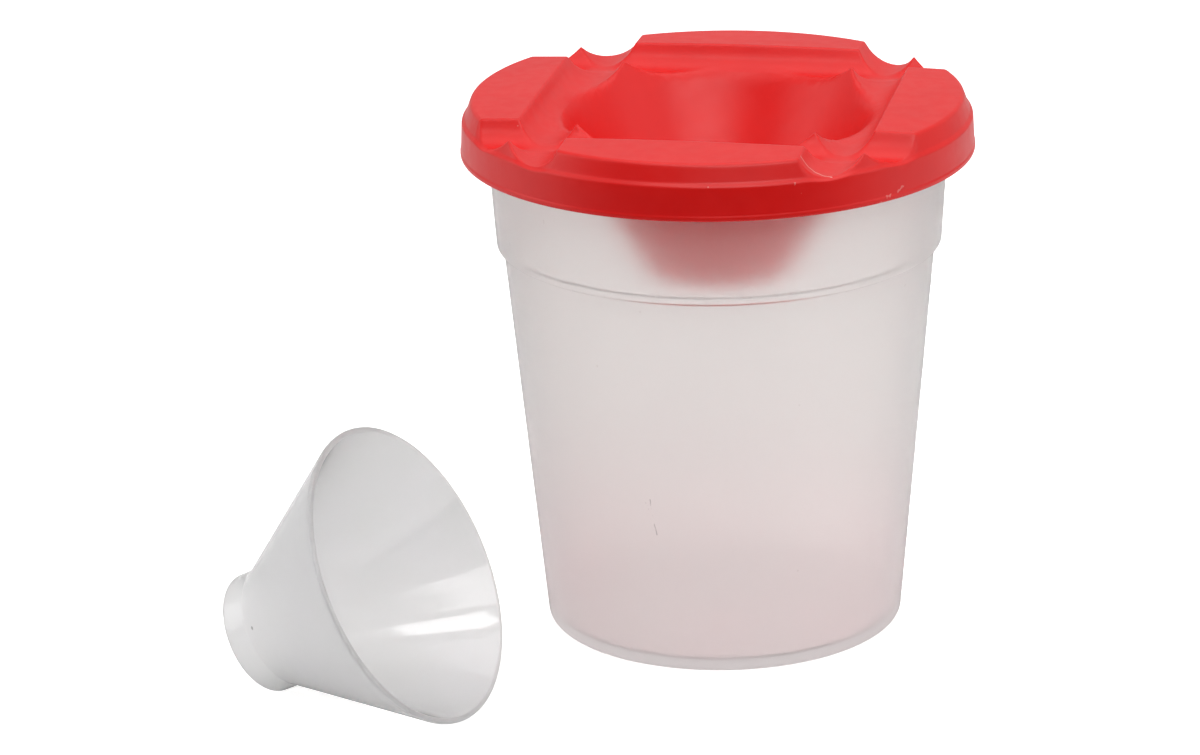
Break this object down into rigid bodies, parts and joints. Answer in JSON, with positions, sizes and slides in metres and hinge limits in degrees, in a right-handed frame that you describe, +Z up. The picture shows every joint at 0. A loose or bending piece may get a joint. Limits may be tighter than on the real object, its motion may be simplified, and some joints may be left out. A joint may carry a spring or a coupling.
{
  "type": "brush washer with lid",
  "caption": "Translucent tapered water cup with a lift-off lid that has crossing brush rests and a built-in funnel, and a loose cone insert beside it.",
  "frame": {"origin": "centre of the cup's flat foot, on the floor", "axes": "+Z up along the cup's axis, X and Y along the crossing brush rests"},
  "size_m": [0.1166, 0.1177, 0.091],
  "materials": {
    "cup": "translucent milky plastic, satin",
    "lid": "bright red moulded plastic, soft gloss",
    "insert": "thin translucent plastic, satin"
  },
  "bodies": {
    "cup": {"cup": "cup"},
    "lid": {"lid": "lid"},
    "insert": {"insert": "insert"}
  },
  "joints": [
    {"name": "lid_lift", "type": "slide", "parent": "cup", "child": "lid", "axis": [0, 0, 1], "range_m": [0, 0.06]},
    {"name": "insert_lift", "type": "slide", "parent": "cup", "child": "insert", "axis": [0, 0, 1], "range_m": [0, 0.15]}
  ]
}
